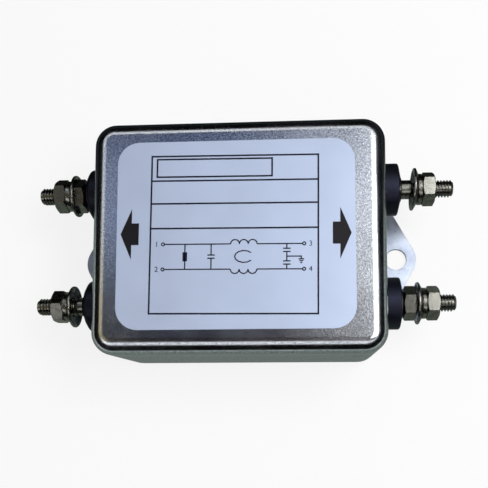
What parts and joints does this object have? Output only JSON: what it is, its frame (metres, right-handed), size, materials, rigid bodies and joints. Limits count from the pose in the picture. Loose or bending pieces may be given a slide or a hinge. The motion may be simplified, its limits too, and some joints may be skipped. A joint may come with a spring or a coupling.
{
  "type": "emi power line filter",
  "caption": "Line filter in a drawn metal can with bolt-down ears, stud terminals in insulating bushings and a sealed filter circuit.",
  "frame": {"origin": "centre of the underside, on the surface that the filter is bolted to", "axes": "+X to the load terminals, +Y to the far long side, +Z out of the labelled face"},
  "size_m": [0.098, 0.052, 0.0302],
  "materials": {
    "plated_can": "bright tin plating on drawn sheet, finely grained",
    "plated_base": "bright zinc plating on flat sheet",
    "foil_label": "satin silver film, printed in dark blue",
    "black_moulding": "black glass-filled nylon, moulded",
    "plated_fastener": "bright nickel plating on turned steel",
    "white_moulding": "natural nylon, moulded",
    "tinned_brass": "tinned brass sheet, stamped",
    "copper_wire": "enamelled and bare copper wire",
    "board_laminate": "glass-cloth laminate with solder resist",
    "coated_ferrite": "ferrite with a green coating",
    "film_case": "yellow moulded box, satin",
    "disc_coating": "blue epoxy dip, glossy",
    "resistor_coating": "tan lacquer over a ceramic rod"
  },
  "bodies": {
    "filter_body": {"case_shell": "plated_can", "base_plate": "plated_base", "rating_label": "foil_label", "clamp_nuts": "plated_fastener", "board_tray": "white_moulding", "circuit_board": "board_laminate", "choke_core": "coated_ferrite", "choke_divider": "white_moulding", "winding_1": "copper_wire", "winding_2": "copper_wire", "film_capacitor": "film_case", "disc_capacitor_1": "disc_coating", "disc_capacitor_2": "disc_coating", "bleeder_resistor": "resistor_coating", "earth_tab": "tinned_brass", "bushing_line_1": "black_moulding", "stud_line_1": "plated_fastener", "inner_ring_line_1": "white_moulding", "solder_lug_line_1": "tinned_brass", "lead_line_1": "copper_wire", "bushing_line_2": "black_moulding", "stud_line_2": "plated_fastener", "inner_ring_line_2": "white_moulding", "solder_lug_line_2": "tinned_brass", "lead_line_2": "copper_wire", "bushing_load_1": "black_moulding", "stud_load_1": "plated_fastener", "inner_ring_load_1": "white_moulding", "solder_lug_load_1": "tinned_brass", "lead_load_1": "copper_wire", "bushing_load_2": "black_moulding", "stud_load_2": "plated_fastener", "inner_ring_load_2": "white_moulding", "solder_lug_load_2": "tinned_brass", "lead_load_2": "copper_wire"},
    "washers_line_1": {"cup_washer_line_1": "plated_fastener", "spring_washer_line_1": "plated_fastener"},
    "nut_line_1": {"nut_line_1": "plated_fastener"},
    "washers_line_2": {"cup_washer_line_2": "plated_fastener", "spring_washer_line_2": "plated_fastener"},
    "nut_line_2": {"nut_line_2": "plated_fastener"},
    "washers_load_1": {"cup_washer_load_1": "plated_fastener", "spring_washer_load_1": "plated_fastener"},
    "nut_load_1": {"nut_load_1": "plated_fastener"},
    "washers_load_2": {"cup_washer_load_2": "plated_fastener", "spring_washer_load_2": "plated_fastener"},
    "nut_load_2": {"nut_load_2": "plated_fastener"}
  },
  "joints": [
    {"name": "nut_line_1_travel", "type": "slide", "parent": "filter_body", "child": "washers_line_1", "axis": [-1, 0, 0], "range_m": [0, 0.00595]},
    {"name": "nut_line_1_turn", "type": "hinge", "parent": "washers_line_1", "child": "nut_line_1", "pos_m": [-0.04377, 0.0135, 0.0155], "axis": [-1, 0, 0], "range_deg": [0, 3060]},
    {"name": "nut_line_2_travel", "type": "slide", "parent": "filter_body", "child": "washers_line_2", "axis": [-1, 0, 0], "range_m": [-0.00245, 0.00595]},
    {"name": "nut_line_2_turn", "type": "hinge", "parent": "washers_line_2", "child": "nut_line_2", "pos_m": [-0.04372, -0.0135, 0.0155], "axis": [-1, 0, 0], "range_deg": [-1260, 3060]},
    {"name": "nut_load_1_travel", "type": "slide", "parent": "filter_body", "child": "washers_load_1", "axis": [1, 0, 0], "range_m": [-0.0021, 0.0063]},
    {"name": "nut_load_1_turn", "type": "hinge", "parent": "washers_load_1", "child": "nut_load_1", "pos_m": [0.04332, 0.0135, 0.0155], "axis": [1, 0, 0], "range_deg": [-1080, 3240]},
    {"name": "nut_load_2_travel", "type": "slide", "parent": "filter_body", "child": "washers_load_2", "axis": [1, 0, 0], "range_m": [-0.0007, 0.00595]},
    {"name": "nut_load_2_turn", "type": "hinge", "parent": "washers_load_2", "child": "nut_load_2", "pos_m": [0.04372, -0.0135, 0.0155], "axis": [1, 0, 0], "range_deg": [-360, 3060]}
  ],
  "couplings": [
    {"joint": "nut_line_1_turn", "follows": "nut_line_1_travel", "rad_per_m": 8976},
    {"joint": "nut_line_2_turn", "follows": "nut_line_2_travel", "rad_per_m": 8976},
    {"joint": "nut_load_1_turn", "follows": "nut_load_1_travel", "rad_per_m": 8976},
    {"joint": "nut_load_2_turn", "follows": "nut_load_2_travel", "rad_per_m": 8976}
  ]
}
